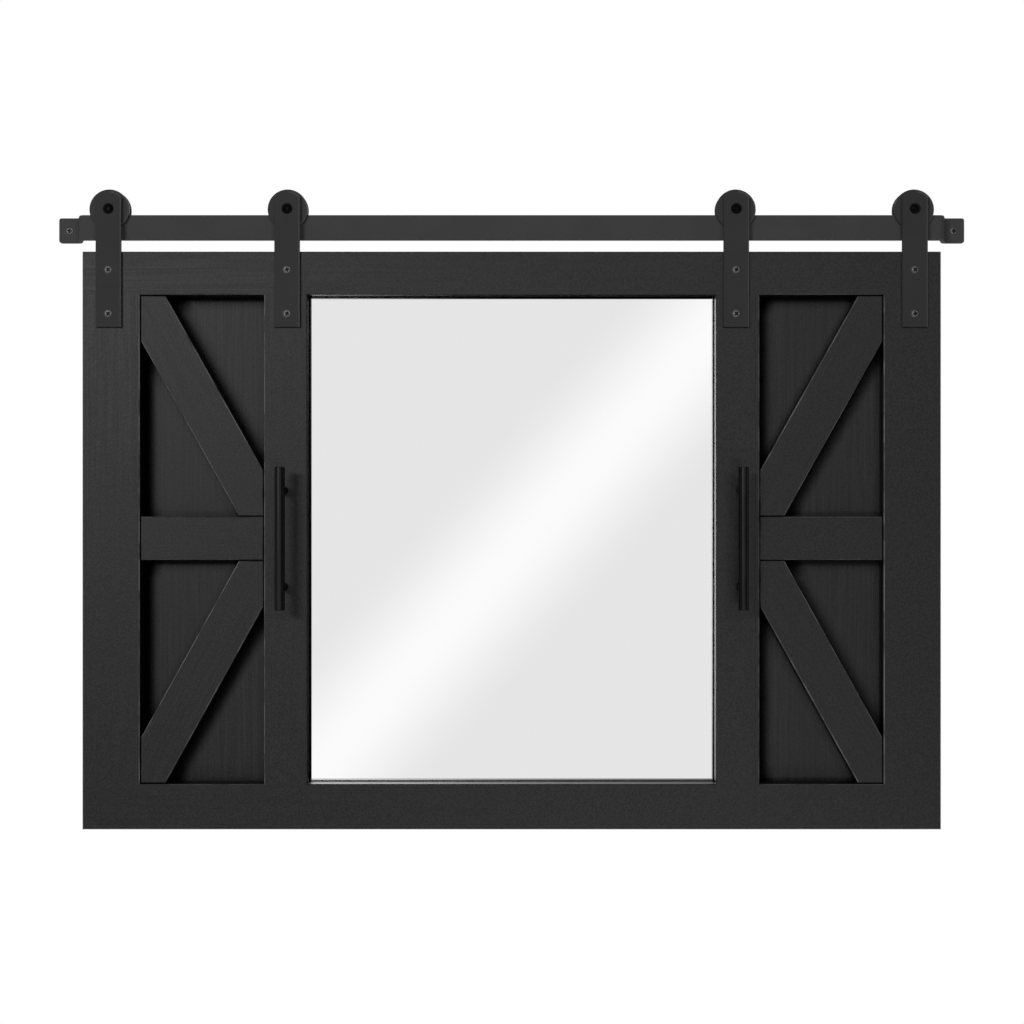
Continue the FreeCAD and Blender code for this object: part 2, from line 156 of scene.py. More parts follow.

# Painted shade in their joints and inner corners, their backs, and the way to the light whose shadow is
# painted. Openness is 1 on a free surface
JOINT_REACH = 2 * MM
CREASE_SHADE = {"From Min": 0.8, "From Max": 0.5}
OUT_OF_JOINTS = {"From Min": 0.7, "From Max": 1.0}
SEAM_WIDTH = 0.4 * MM
TURNED_BACK = 0.9
# Painted shadow: the way to the upper-left light, and how shut that side of the sky must be before the
# colour turns near black and loses its sheen
SHADOW_LIGHT_FROM = (-0.75, -0.6, 0.28)
IN_PAINTED_SHADOW = {"From Min": 0.72, "From Max": 0.3}


def pine_patterns(tree, spot, turn):
    """Growth rings and fibres along the lean of the grain, and grains of spray all over."""
    along = add(tree, "ShaderNodeMapping", {"Rotation": (0, turn, 0), "Scale": (1, 1, GRAIN_LENGTH)},
                {"Vector": spot}, vector_type="TEXTURE")
    rings = add(tree, "ShaderNodeTexNoise", {"Scale": 1 / RING_SPACING, "Detail": 3, "Distortion": 0.6},
                {"Vector": along})
    fibres = add(tree, "ShaderNodeTexNoise", {"Scale": 1 / FIBRE_WIDTH, "Detail": 2}, {"Vector": along})
    spray = add(tree, "ShaderNodeTexNoise", {"Scale": 1 / SPRAY_GRAIN, "Detail": 1}, {"Vector": spot})
    return rings, fibres, spray


def pine_relief(tree, figure, rings, fibres, spray, side):
    """Bumps of the grain under the paint and, except on the sides, of the spray on it."""
    ridges = add(tree, "ShaderNodeBump", {"Strength": figure, "Distance": RING_RELIEF}, {"Height": rings})
    grain = add(tree, "ShaderNodeBump", {"Strength": figure, "Distance": FIBRE_RELIEF},
                {"Height": fibres, "Normal": ridges})
    front = add(tree, "ShaderNodeMath", {0: 1.0}, {1: side}, operation="SUBTRACT")
    return add(tree, "ShaderNodeBump", {"Distance": SPRAY_RELIEF},
               {"Strength": front, "Height": spray, "Normal": grain})


def level_seams(tree, spot):
    """1 along the two level joints of the frame, over its whole width, else 0."""
    low = Vector((FRAME_LOW.x - SEAM_WIDTH, 0, OPENING_LOW.z))
    high = Vector((FRAME_HIGH.x + SEAM_WIDTH, 0, OPENING_HIGH.z))
    inner = border(tree, spot, low, high, SEAM_WIDTH)
    outer = border(tree, spot, low, high, -SEAM_WIDTH)
    return add(tree, "ShaderNodeMath", None, {0: inner, 1: outer}, operation="SUBTRACT")


def painted_shadow_mask(tree, reach):
    """1 where something within reach stands between the spot and the light from the upper left, else 0: a
    painted shadow. The half of the sky that leans towards that light is shut there."""
    light_way = add(tree, "ShaderNodeCombineXYZ", dict(zip("XYZ", SHADOW_LIGHT_FROM)))
    sky = add(tree, "ShaderNodeAmbientOcclusion", {"Distance": reach}, {"Normal": light_way}, samples=8)
    return add(tree, "ShaderNodeMapRange", IN_PAINTED_SHADOW, {"Value": sky.outputs["AO"]})


def highlit_and_worn_edges(tree, spot, eased, facing, openness):
    """1 where a front edge is painted light grey, else 0: a painted highlight with some wear, in patches,
    less on level edges, and not in the joints between two boards, along the outline of the frame or round
    the mirror. eased runs over the edge from front to side."""
    highlit_part = add(tree, "ShaderNodeValToRGB", None, {"Fac": eased}, stops=HIGHLIT_PART)
    aside = add(tree, "ShaderNodeMath", None, {0: facing.outputs["X"]}, operation="ABSOLUTE")
    upright = add(tree, "ShaderNodeMapRange", LESS_ON_LEVEL_EDGES, {"Value": aside})
    free = add(tree, "ShaderNodeMapRange", OUT_OF_JOINTS, {"Value": openness})
    patches = add(tree, "ShaderNodeTexNoise", {"Scale": 1 / HIGHLIGHT_PATCH, "Detail": 2}, {"Vector": spot})
    patchy = add(tree, "ShaderNodeMapRange", PATCHY, {"Value": patches})
    clearance = Vector((2 * EASED_EDGE, 0, 2 * EASED_EDGE))
    outline = border(tree, spot, FRAME_LOW, FRAME_HIGH, 2 * EASED_EDGE)
    off_the_mirror = border(tree, spot, OPENING_LOW - clearance, OPENING_HIGH + clearance, 0)
    highlight_and_wear = add(tree, "ShaderNodeMath", None, {0: off_the_mirror, 1: outline}, operation="SUBTRACT")
    for share in (highlit_part, upright, free, patchy):
        highlight_and_wear = add(tree, "ShaderNodeMath", None, {0: highlight_and_wear, 1: share}, operation="MULTIPLY")
    return highlight_and_wear


def painted_pine(name, turn, face, figure, reach, settings):
    """Pine sprayed with matt black paint: a broad soft sheen, speckled by the spray and broken up by the
    grain under it. The front edges are painted light grey, a painted highlight with some wear. The sides,
    the creases and the side away from the upper-left light are painted near black as painted shade, and the
    painted shadow and the back seams lose their sheen. turn leans the grain, face is the depth of the
    board's front, figure is how much of the grain shows and reach is the width of the painted shadow."""
    material, tree, spot = new_finish(name)
    rings, fibres, spray = pine_patterns(tree, spot, turn)
    streaks = add(tree, "ShaderNodeMix", {FACTOR: figure}, {NUMBER_A: spray, NUMBER_B: fibres},
                  data_type="FLOAT")
    paint = add(tree, "ShaderNodeValToRGB", None, {"Fac": streaks},
                stops=((DARKEST_PAINT, (*settings.paint_dark, 1)),
                       (LIGHTEST_PAINT, (*settings.paint_light, 1))))

    # Where the board is seen: its back, its sides and creases, which get painted shade, and the painted
    # shadow from the upper-left light
    place = add(tree, "ShaderNodeSeparateXYZ", None, {0: spot})
    eased = add(tree, "ShaderNodeMapRange", {"From Min": face, "From Max": face + EASED_EDGE},
                {"Value": place.outputs["Y"]})
    normal = add(tree, "ShaderNodeNewGeometry").outputs["True Normal"]
    facing = add(tree, "ShaderNodeSeparateXYZ", None, {0: normal})
    back = add(tree, "ShaderNodeMath", {1: TURNED_BACK}, {0: facing.outputs["Y"]}, operation="GREATER_THAN")
    below = add(tree, "ShaderNodeMapRange", PAST_THE_EDGE, {"Value": eased})
    side = add(tree, "ShaderNodeMath", None, {0: below, 1: back}, operation="SUBTRACT", use_clamp=True)
    # Painted shade in creases and inner corners: darker where the surface is closed in within JOINT_REACH
    openness = add(tree, "ShaderNodeAmbientOcclusion", {"Distance": JOINT_REACH}, samples=4).outputs["AO"]
    crease_shade = add(tree, "ShaderNodeMapRange", CREASE_SHADE, {"Value": openness})
    seam = add(tree, "ShaderNodeMath", None, {0: level_seams(tree, spot), 1: back}, operation="MULTIPLY")
    crease_shade_and_seams = add(tree, "ShaderNodeMath", None, {0: crease_shade, 1: seam}, operation="MAXIMUM")
    # The sides and creases that get painted shade, together with the dark back seams
    painted_light_mask = add(tree, "ShaderNodeMath", None, {0: side, 1: crease_shade_and_seams}, operation="MAXIMUM")
    # Painted shadow beside what stands to the upper left of the spot, not on the back
    painted_cast_shadow = add(tree, "ShaderNodeMath", None, {0: painted_shadow_mask(tree, reach), 1: back}, operation="SUBTRACT",
              use_clamp=True)

    # Painted shade: the sides, the creases and the painted shadow turn near black; the back seams are real
    # dark joints
    painted_shade_and_seams = add(tree, "ShaderNodeMath", None, {0: painted_light_mask, 1: painted_cast_shadow}, operation="MAXIMUM")
    coat = add(tree, "ShaderNodeMix", {COLOUR_B: (*settings.paint_shade_and_seams, 1)},
               {FACTOR: painted_shade_and_seams, COLOUR_A: paint}, data_type="RGBA")
    # Painted highlight with some wear along the front edges
    highlight_and_wear = highlit_and_worn_edges(tree, spot, eased, facing, openness)
    colour = add(tree, "ShaderNodeMix", {COLOUR_B: (*settings.paint_highlight_and_wear, 1)},
                 {FACTOR: highlight_and_wear, COLOUR_A: coat.outputs[MIXED_COLOUR]}, data_type="RGBA")
    sheen = add(tree, "ShaderNodeMapRange", SHEEN_BY_FIBRE, {"Value": fibres})
    gloss = add(tree, "ShaderNodeMix", {NUMBER_B: SIDE_ROUGHNESS}, {FACTOR: painted_light_mask, NUMBER_A: sheen},
                data_type="FLOAT")
    # No sheen in the painted shadow, nor in the dark back seams
    shadow_and_seam_gloss = add(tree, "ShaderNodeMath", None, {0: painted_cast_shadow, 1: seam}, operation="MAXIMUM")
    matt = add(tree, "ShaderNodeMix", {COLOUR_A: WHITE, COLOUR_B: BLACK}, {FACTOR: shadow_and_seam_gloss}, data_type="RGBA")
    relief = pine_relief(tree, figure, rings, fibres, spray, side)
    surface(tree, None, {"Base Color": colour.outputs[MIXED_COLOUR], "Roughness": gloss,
                         "Specular Tint": matt.outputs[MIXED_COLOUR], "Normal": relief})
    return material


# Levels of a noise at which a mottle is at its darkest and at its lightest
DARK_MOTTLE, LIGHT_MOTTLE = 0.35, 0.65

# Powder coat: orange peel drawn wider than it is, so that it shows, and slow changes of the film
PEEL_WIDTH = 2 * MM
PEEL_RELIEF = 0.1 * MM
PEEL_STRENGTH = 0.3
FLOW_WIDTH = 40 * MM
FLOW_SHADE = 0.9
FLOW_ROUGHNESS = 0.05
# Its edges, and the front of a bar, where painted highlights go: how far the rounded normal leans off the
# flat one, to the right and to the front
COAT_EDGE = 2.0 * MM
ON_THE_EDGE = {"From Min": 0.998, "From Max": 0.975}
ON_THE_RIGHT = {"From Min": 0.0, "From Max": 0.1}
FRONT_OF_A_BAR = {"From Min": -0.8, "From Max": -0.97}
# Tint that dims the gloss on the flanks of a bar, so that the painted highlight shows only on its front
FLANK_GLOSS = "#898989"


def front_highlight_tint(tree):
    """Painted highlight: tint of the gloss on a bar by which way it faces, full on the front so that it
    shines in one line, and dimmed on the flanks, which stay nearly matt."""
    normal = add(tree, "ShaderNodeNewGeometry").outputs["Normal"]
    turned = add(tree, "ShaderNodeSeparateXYZ", None, {0: normal})
    front = add(tree, "ShaderNodeMapRange", FRONT_OF_A_BAR, {"Value": turned.outputs["Y"]})
    tint = add(tree, "ShaderNodeMix", {COLOUR_A: linear(FLANK_GLOSS), COLOUR_B: WHITE}, {FACTOR: front},
               data_type="RGBA")
    return tint.outputs[MIXED_COLOUR]


def powder_coated_steel(name, colour, edge_highlight_coat, roughness, specular, front_highlight=False):
    """Bar steel with a black powder coat: an even satin film with a slight orange peel, with a painted
    highlight that makes the right-hand edges a little lighter."""
    material, tree, spot = new_finish(name)
    peel = add(tree, "ShaderNodeTexNoise", {"Scale": 1 / PEEL_WIDTH, "Detail": 1}, {"Vector": spot})
    flow = add(tree, "ShaderNodeTexNoise", {"Scale": 1 / FLOW_WIDTH, "Detail": 2}, {"Vector": spot})
    shaded = tuple(FLOW_SHADE * c for c in colour)
    film = add(tree, "ShaderNodeValToRGB", None, {"Fac": flow},
               stops=((DARK_MOTTLE, (*shaded, 1)), (LIGHT_MOTTLE, (*colour, 1))))
    rounded = add(tree, "ShaderNodeBevel", {"Radius": COAT_EDGE}, samples=4)
    flat = add(tree, "ShaderNodeNewGeometry").outputs["True Normal"]
    level = add(tree, "ShaderNodeVectorMath", None, {0: rounded, 1: flat}, operation="DOT_PRODUCT")
    edge = add(tree, "ShaderNodeMapRange", ON_THE_EDGE, {"Value": level.outputs["Value"]})
    # Painted highlight: the right-hand edges of the coat are lighter
    lean = add(tree, "ShaderNodeSeparateXYZ", None, {0: rounded})
    right = add(tree, "ShaderNodeMapRange", ON_THE_RIGHT, {"Value": lean.outputs["X"]})
    painted_light_mask = add(tree, "ShaderNodeMath", None, {0: edge, 1: right}, operation="MULTIPLY")
    base = add(tree, "ShaderNodeMix", {COLOUR_B: (*edge_highlight_coat, 1)}, {FACTOR: painted_light_mask, COLOUR_A: film},
               data_type="RGBA")
    gloss = add(tree, "ShaderNodeMapRange",
                {"To Min": roughness - FLOW_ROUGHNESS, "To Max": roughness + FLOW_ROUGHNESS},
                {"Value": flow})
    bump = add(tree, "ShaderNodeBump", {"Strength": PEEL_STRENGTH, "Distance": PEEL_RELIEF},
               {"Height": peel})
    links = {"Base Color": base.outputs[MIXED_COLOUR], "Roughness": gloss, "Normal": bump}
    # Painted highlight: gloss full on the front of the bar only
    if front_highlight:
        links["Specular Tint"] = front_highlight_tint(tree)
    surface(tree, {"Specular IOR Level": specular}, links)
    return material


# Stains of the dark steels, the wear on a screw's crown, and the painted shade line round the glass
OXIDE_STAIN = 2 * MM
SCREW_STAIN = 0.8 * MM
UNWORN, WORN = 0.1, 0.6
GLASS_EDGE_SHADE = 1.0 * MM


def black_oxide_steel():
    """Machined steel with a black oxide skin: nearly black and oily, so that its highlights are faint but
    sharper than those of the paint."""
    material, tree, spot = new_finish("black_oxide_steel")
    stain = add(tree, "ShaderNodeTexNoise", {"Scale": 1 / OXIDE_STAIN, "Detail": 3}, {"Vector": spot})
    skin = add(tree, "ShaderNodeValToRGB", None, {"Fac": stain},
               stops=((DARK_MOTTLE, linear("#010101")), (LIGHT_MOTTLE, linear("#050505"))))
    surface(tree, {"Roughness": 0.4, "Specular IOR Level": 0.08}, {"Base Color": skin})
    return material


def blackened_screw_steel():
    """Screw steel with a black skin, worn to grey metal on the crown of the head, and black inside the
    drive."""
    material, tree, spot = new_finish("blackened_screw_steel")
    stain = add(tree, "ShaderNodeTexNoise", {"Scale": 1 / SCREW_STAIN, "Detail": 2}, {"Vector": spot})
    crown = add(tree, "ShaderNodeAttribute", attribute_name="crown")
    wear = add(tree, "ShaderNodeMath", None, {0: crown.outputs["Fac"], 1: stain}, operation="MULTIPLY")
    skin = add(tree, "ShaderNodeValToRGB", None, {"Fac": wear},
               stops=((UNWORN, linear("#050505")), (WORN, linear("#868686"))))
    surface(tree, {"Metallic": 0.6, "Roughness": 0.5}, {"Base Color": skin})
    return material


def silvered_glass():
    """Float glass silvered on its back: a clear mirror without colour. Along the opening a dark line is
    painted on it: painted shade that stands for the thickness of the glass seen there."""
    material, tree, spot = new_finish("silvered_float_glass")
    # Painted shade: a dark line round the opening, for the glass's thickness seen there
    line = border(tree, spot, OPENING_LOW, OPENING_HIGH, GLASS_EDGE_SHADE)
    silver = add(tree, "ShaderNodeMix", {COLOUR_A: linear("#FBFBFB"), COLOUR_B: linear("#060606")},
                 {FACTOR: line}, data_type="RGBA")
    surface(tree, {"Metallic": 1.0, "Roughness": 0.0}, {"Base Color": silver.outputs[MIXED_COLOUR]})
    return material


MOTTLE_RELIEF = 0.1 * MM
MOTTLE_STRENGTH = 0.3


def plain_finish(name, dark, light, grain, roughness, metallic=0.0):
    """A stock material with its own mottle: grain is the size of the mottle in metres."""
    material, tree, spot = new_finish(name)
    mottle = add(tree, "ShaderNodeTexNoise", {"Scale": 1 / grain, "Detail": 4}, {"Vector": spot})
    tone = add(tree, "ShaderNodeValToRGB", None, {"Fac": mottle},
               stops=((DARK_MOTTLE, linear(dark)), (LIGHT_MOTTLE, linear(light))))
    bump = add(tree, "ShaderNodeBump", {"Strength": MOTTLE_STRENGTH, "Distance": MOTTLE_RELIEF},
               {"Height": mottle})
    surface(tree, {"Roughness": roughness, "Metallic": metallic}, {"Base Color": tone, "Normal": bump})
    return material


def zinc_plated_steel():
    """Bright zinc over steel: pale grey metal with a fine spangle."""
    return plain_finish("zinc_plated_steel", "#7A7E80", "#9DA1A2", grain=1.5 * MM, roughness=0.4,
                        metallic=1.0)


def hardboard():
    """Pressed wood fibre: warm brown, matt, with a fine felted mottle."""
    return plain_finish("hardboard", "#5A4330", "#6B523C", grain=2 * MM, roughness=0.75)


def beech():
    """Turned beech: pale tan, with short flecks."""
    return plain_finish("beech", "#B98D5E", "#CFA878", grain=1.2 * MM, roughness=0.6)


def felt():
    """Pressed wool felt: dark grey and without any sheen."""
    return plain_finish("felt", "#3A3A3A", "#505050", grain=0.6 * MM, roughness=0.95)


def dress(nodes, material):
    """Gives CAD nodes their material."""
    for node in nodes:
        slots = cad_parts[node].data.materials
        slots.clear()
        slots.append(material)


class FinishSettings(bpy.types.PropertyGroup):
    """Colours of the paint and the powder coat"""
    paint_dark: FloatVectorProperty(
        name="Paint, dark", description="Black paint in the hollows of the grain", subtype="COLOR",
        default=linear("#080808")[:3], min=0, max=1)
    paint_light: FloatVectorProperty(
        name="Paint, light", description="Black paint on the ridges of the grain", subtype="COLOR",
        default=linear("#262626")[:3], min=0, max=1)
    # Painted shade: near black on the sides of the boards, in creases and in the painted shadow, and the
    # colour of the dark back seams
    paint_shade_and_seams: FloatVectorProperty(
        name="Paint, sides", description="Black paint on the sides of the boards", subtype="COLOR",
        default=linear("#020202")[:3], min=0, max=1)
    # Painted highlight with some wear on the front edges
    paint_highlight_and_wear: FloatVectorProperty(
        name="Paint, rubbed", description="Paint on the front edges", subtype="COLOR",
        default=linear("#8E8E8E")[:3], min=0, max=1)
    rail_coat: FloatVectorProperty(
        name="Rail", description="Powder coat of the rail", subtype="COLOR",
        default=linear("#525252")[:3], min=0, max=1)
    strap_coat: FloatVectorProperty(
        name="Straps", description="Powder coat of the straps", subtype="COLOR",
        default=linear("#434343")[:3], min=0, max=1)
    wheel_coat: FloatVectorProperty(
        name="Wheels", description="Powder coat of the wheels", subtype="COLOR",
        default=linear("#454545")[:3], min=0, max=1)
    handle_coat: FloatVectorProperty(
        name="Handles", description="Powder coat of the handles", subtype="COLOR",
        default=linear("#050505")[:3], min=0, max=1)
    # Painted highlight on the right-hand edges of the powder coat
    edge_highlight_coat: FloatVectorProperty(
        name="Thin coat", description="Powder coat along the edges", subtype="COLOR",
        default=linear("#6C6C6C")[:3], min=0, max=1)


class FastenerSettings(bpy.types.PropertyGroup):
    """Sizes of the screws"""
    strap_head: FloatProperty(
        name="Strap screw head", description="Radius of the heads on the straps", unit="LENGTH",
        default=3.3 * MM)
    wall_head: FloatProperty(
        name="Wall screw head", description="Radius of the heads in the rail's tabs", unit="LENGTH",
        default=3.4 * MM)
    wall_hole: FloatProperty(
        name="Wall screw hole", description="Hole from the end of the rail", unit="LENGTH",
        default=10.3 * MM)
    tab_thickness: FloatProperty(
        name="Tab", description="Thickness of the rail's tabs", unit="LENGTH", default=4.0 * MM)
    wall_head_sunk: FloatProperty(
        name="Wall screw sunk", description="Wall screw heads below the tabs' face", unit="LENGTH",
        default=0.9 * MM)


class StageSettings(bpy.types.PropertyGroup):
    """Camera and lights"""
    camera_distance: FloatProperty(
        name="Camera distance", description="Camera in front of the frame's face", unit="LENGTH",
        default=1.55)
    camera_height: FloatProperty(
        name="Camera height", description="Camera against the rail's middle", unit="LENGTH",
        default=-0.2848)
    camera_side: FloatProperty(
        name="Camera side", description="Camera to the right of the middle", unit="LENGTH",
        default=0.3 * MM)
    lens: FloatProperty(
        name="Lens", description="Focal length in millimetres", unit="CAMERA", default=54.58)
    key_soft_box: FloatProperty(
        name="Key", description="Soft box at the left", unit="POWER", default=62.0)
    front_light: FloatProperty(
        name="Front", description="Small lamp above the camera", unit="POWER", default=9.0)
    right_fill: FloatProperty(
        name="Fill", description="Soft box at the right", unit="POWER", default=4.8)
    low_bounce: FloatProperty(
        name="Low", description="Light thrown back from below", unit="POWER", default=5.6)
    back_light: FloatProperty(
        name="Back", description="Soft box behind the object", unit="POWER", default=30.0)
    ambient: FloatProperty(
        name="Ambient", description="Light of the room on the object", default=0.02, min=0)
    wall_glow: FloatProperty(
        name="Glow", description="Light that the mirror throws on the walls of the opening", default=3.2,
        min=0)
    floor_height: FloatProperty(
        name="Floor", description="Height of the floor", unit="LENGTH", default=-1.25)


NEAR_CLIP = 50 * MM

# Lamps: their place, with its depth from the face of the frame, and their width and height
LAMPS = {
    "key_soft_box": ((-2.2, -3.9, 0.9), (1.6, 0.6)),
    "front_light": ((0.1, -3.3, 1.1), (0.35, 0.35)),
    "right_fill": ((1.15, -2.5, 0.5), (0.5, 0.5)),
    "low_bounce": ((0.45, -2.4, -1.05), (1.0, 0.3)),
    "back_light": ((0.9, 2.6, 0.9), (1.4, 1.0)),
}
# A ray of this depth or less comes straight to what the camera sees
DIRECT_DEPTH = 1.5

# Floor: grey enough to show the shadow under the object, and fading to white away from it
FLOOR_HALF_WIDTH = 2.5
FLOOR_FRONT, FLOOR_BACK = -1.0, 1.2
FLOOR_GLOW = {"From Min": 0.5, "From Max": 1.0, "To Min": 0.8, "To Max": 1.0}

# Card before the mirror: the band's place and width are measured in the plane of the frame's face
CARD_DEPTH = -8.0
CARD_HALF_SIZE = 40.0
CARD_GREY = "#E9E9E9"
CARD_IN_SHEEN = "#202020"
BAND_SLOPE = math.radians(42)
BAND_SHIFT = 28.7 * MM
BAND_HALF_WIDTH = 92 * MM
# Light that the mirror throws on: from above a soft line along the band, and stronger at the left
GLOW_EDGE = 0.4
GLOW_REACH = 3.0
GLOW_RIGHT = (0.33, 0.33, 0.33, 1.0)
GLOW_ACROSS = ((0.0, BLACK), (0.1, WHITE), (0.36, WHITE), (0.48, GLOW_RIGHT), (0.9, GLOW_RIGHT))


def photo_camera(scene, settings):
    """Camera square on to the frame, as in the photograph."""
    camera = bpy.data.objects.new("camera", bpy.data.cameras.new("camera"))
    camera.data.lens = settings.lens
    camera.data.clip_start = NEAR_CLIP
    camera.location = (settings.camera_side, FRAME_FACE - settings.camera_distance, settings.camera_height)
    camera.rotation_euler = (math.pi / 2, 0, 0)
    scene.collection.objects.link(camera)
    scene.camera = camera


def shown_ray(tree):
    """1 for rays from the camera and for those that show in gloss and glass, else 0."""
    path = add(tree, "ShaderNodeLightPath").outputs
    first = add(tree, "ShaderNodeMath", None, {0: path["Is Camera Ray"], 1: path["Is Glossy Ray"]},
                operation="MAXIMUM")
    return add(tree, "ShaderNodeMath", None, {0: first, 1: path["Is Transmission Ray"]},
               operation="MAXIMUM")


def white_room(scene, settings):
    """A world that shows as white and gives the object only a little light."""
    scene.world = bpy.data.worlds.new("white_room")
    tree = emptied(scene.world)
    white = add(tree, "ShaderNodeBackground", {"Color": WHITE, "Strength": 1.0})
    room = add(tree, "ShaderNodeBackground", {"Color": WHITE, "Strength": settings.ambient})
    mixed = add(tree, "ShaderNodeMixShader", None, {0: shown_ray(tree), 1: room, 2: white})
    add(tree, "ShaderNodeOutputWorld", links={"Surface": mixed})


def plane(name, corners, material):
    """A flat sheet of the stage. Its glow is only seen, so no light is sought on it."""
    mesh = bpy.data.meshes.new(name)
    mesh.from_pydata(corners, [], [range(len(corners))])
    mesh.materials.append(material)
    material.cycles.emission_sampling = "NONE"
    sheet = bpy.data.objects.new(name, mesh)
    bpy.context.scene.collection.objects.link(sheet)
    return sheet


def pale_floor(settings):
    """A matt pale floor that keeps the object's shadow and ends in white, as the room does."""
    height = settings.floor_height
    material, tree, spot = new_finish("pale_floor")
    matt = add(tree, "ShaderNodeBsdfDiffuse", {"Color": linear("#C8C8C8")})
    away = add(tree, "ShaderNodeVectorMath", {1: (0, 0, height)}, {0: spot}, operation="DISTANCE")
    fade = add(tree, "ShaderNodeMapRange", FLOOR_GLOW, {"Value": away.outputs["Value"]})
    glow = add(tree, "ShaderNodeEmission", {"Color": WHITE}, {"Strength": fade})
    lit = add(tree, "ShaderNodeAddShader", None, {0: matt, 1: glow})
    mixed = add(tree, "ShaderNodeMixShader", None, {0: shown_ray(tree), 1: matt, 2: lit})
    add(tree, "ShaderNodeOutputMaterial", links={"Surface": mixed})
    left, right = -FLOOR_HALF_WIDTH, FLOOR_HALF_WIDTH
    plane("floor", [(left, FLOOR_FRONT, height), (right, FLOOR_FRONT, height),
                    (right, FLOOR_BACK, height), (left, FLOOR_BACK, height)], material)


def area_light(name, place, target, size, power):
    """A rectangular soft light that looks at target. It lights the object straight, and neither the camera
    nor the mirror shows it."""
    data = bpy.data.lights.new(name, "AREA")
    data.shape = "RECTANGLE"
    data.size, data.size_y = size
    data.energy = power
    tree = emptied(data)
    path = add(tree, "ShaderNodeLightPath").outputs
    straight = add(tree, "ShaderNodeMath", {1: DIRECT_DEPTH}, {0: path["Ray Depth"]}, operation="LESS_THAN")
    unseen = add(tree, "ShaderNodeMath", {0: 1.0}, {1: path["Is Singular Ray"]}, operation="SUBTRACT")
    share = add(tree, "ShaderNodeMath", None, {0: straight, 1: unseen}, operation="MULTIPLY")
    glow = add(tree, "ShaderNodeEmission", None, {"Strength": share})
    add(tree, "ShaderNodeOutputLight", links={"Surface": glow})
    light = bpy.data.objects.new(name, data)
    light.location = place
    light.rotation_euler = (target - place).to_track_quat("-Z", "Y").to_euler()
    light.visible_camera = False
    bpy.context.scene.collection.objects.link(light)


def mirror_band(tree, below, settings):
    """What the mirror shows: light grey with one soft white band across it. below is how far a spot of the
    card lies under the line along the band that passes through the camera's height."""
    # In the mirror the card is so far away that it has this many times the size of what shows on the frame
    eye = FRAME_FACE - settings.camera_distance
    spread = (2 * GLASS_FACE - eye - CARD_DEPTH) / settings.camera_distance
    off = add(tree, "ShaderNodeMath", {1: BAND_SHIFT * spread}, {0: below}, operation="SUBTRACT")
    width = add(tree, "ShaderNodeMath", None, {0: off}, operation="ABSOLUTE")
    band = add(tree, "ShaderNodeMapRange", {"From Min": BAND_HALF_WIDTH * spread, "From Max": 0.0},
               {"Value": width}, interpolation_type="SMOOTHSTEP")
    shown = add(tree, "ShaderNodeValToRGB", None, {"Fac": band},
                stops=((0.0, linear(CARD_GREY)), (1.0, WHITE)))
    return add(tree, "ShaderNodeEmission", {"Strength": 1.0}, {"Color": shown})


def thrown_light(tree, place, below, settings):
    """Light that the mirror throws on to the walls of the opening, from the upper left of the card."""
    upper_left = add(tree, "ShaderNodeMapRange",
                     {"From Min": GLOW_EDGE, "From Max": -GLOW_EDGE, "To Max": settings.wall_glow},
                     {"Value": below}, interpolation_type="SMOOTHSTEP")
    across = add(tree, "ShaderNodeMapRange", {"From Min": -GLOW_REACH, "From Max": GLOW_REACH},
                 {"Value": place.outputs["X"]})
    from_left = add(tree, "ShaderNodeValToRGB", None, {"Fac": across}, stops=GLOW_ACROSS)
    return add(tree, "ShaderNodeEmission", None, {"Color": from_left, "Strength": upper_left})


def reflection_card(settings):
    """What stands before the mirror, and only gloss sees: in the mirror it shows its band, in the sheen of
    the paint it is dark, and what the mirror throws on comes from its upper left."""
    material, tree, spot = new_finish("card_before_the_mirror")
    path = add(tree, "ShaderNodeLightPath").outputs
    place = add(tree, "ShaderNodeSeparateXYZ", None, {0: spot})
    across = add(tree, "ShaderNodeMath", {1: math.cos(BAND_SLOPE)}, {0: place.outputs["X"]},
                 operation="MULTIPLY")
    height = add(tree, "ShaderNodeMath", {1: settings.camera_height}, {0: place.outputs["Z"]},
                 operation="SUBTRACT")
    below = add(tree, "ShaderNodeMath", {1: -math.sin(BAND_SLOPE)}, {0: height, 2: across},
                operation="MULTIPLY_ADD")
    mirrored = mirror_band(tree, below, settings)
    dark = add(tree, "ShaderNodeEmission", {"Color": linear(CARD_IN_SHEEN), "Strength": 1.0})
    seen = add(tree, "ShaderNodeMixShader", None, {0: path["Is Singular Ray"], 1: dark, 2: mirrored})
    glow = thrown_light(tree, place, below, settings)
    thrown = add(tree, "ShaderNodeMath", {1: DIRECT_DEPTH}, {0: path["Ray Depth"]},
                 operation="GREATER_THAN")
    mixed = add(tree, "ShaderNodeMixShader", None, {0: thrown, 1: seen, 2: glow})
    add(tree, "ShaderNodeOutputMaterial", links={"Surface": mixed})
    half = CARD_HALF_SIZE
    corners = [(x, CARD_DEPTH, z) for x, z in ((-half, -half), (half, -half), (half, half), (-half, half))]
    card = plane("card_before_the_mirror", corners, material)
    for ray in ("camera", "diffuse", "shadow", "transmission", "volume_scatter"):
        setattr(card, f"visible_{ray}", False)


class BARNMIRROR_OT_stage(bpy.types.Operator):
    """Camera, white room, floor and lights"""
    bl_idname = "barnmirror.stage"
    bl_label = "Stage"

    def execute(self, context):
        scene = context.scene
        settings = scene.barnmirror_stage
        scene.view_settings.view_transform = "Standard"
        photo_camera(scene, settings)
        white_room(scene, settings)
        pale_floor(settings)
        reflection_card(settings)
        face = Vector((0, FRAME_FACE, 0))
        middle = face + Vector((0, 0, (FRAME_LOW.z + FRAME_HIGH.z) / 2))
        for name, (place, size) in LAMPS.items():
            area_light(name, face + Vector(place), middle, size, getattr(settings, name))
        return {"FINISHED"}


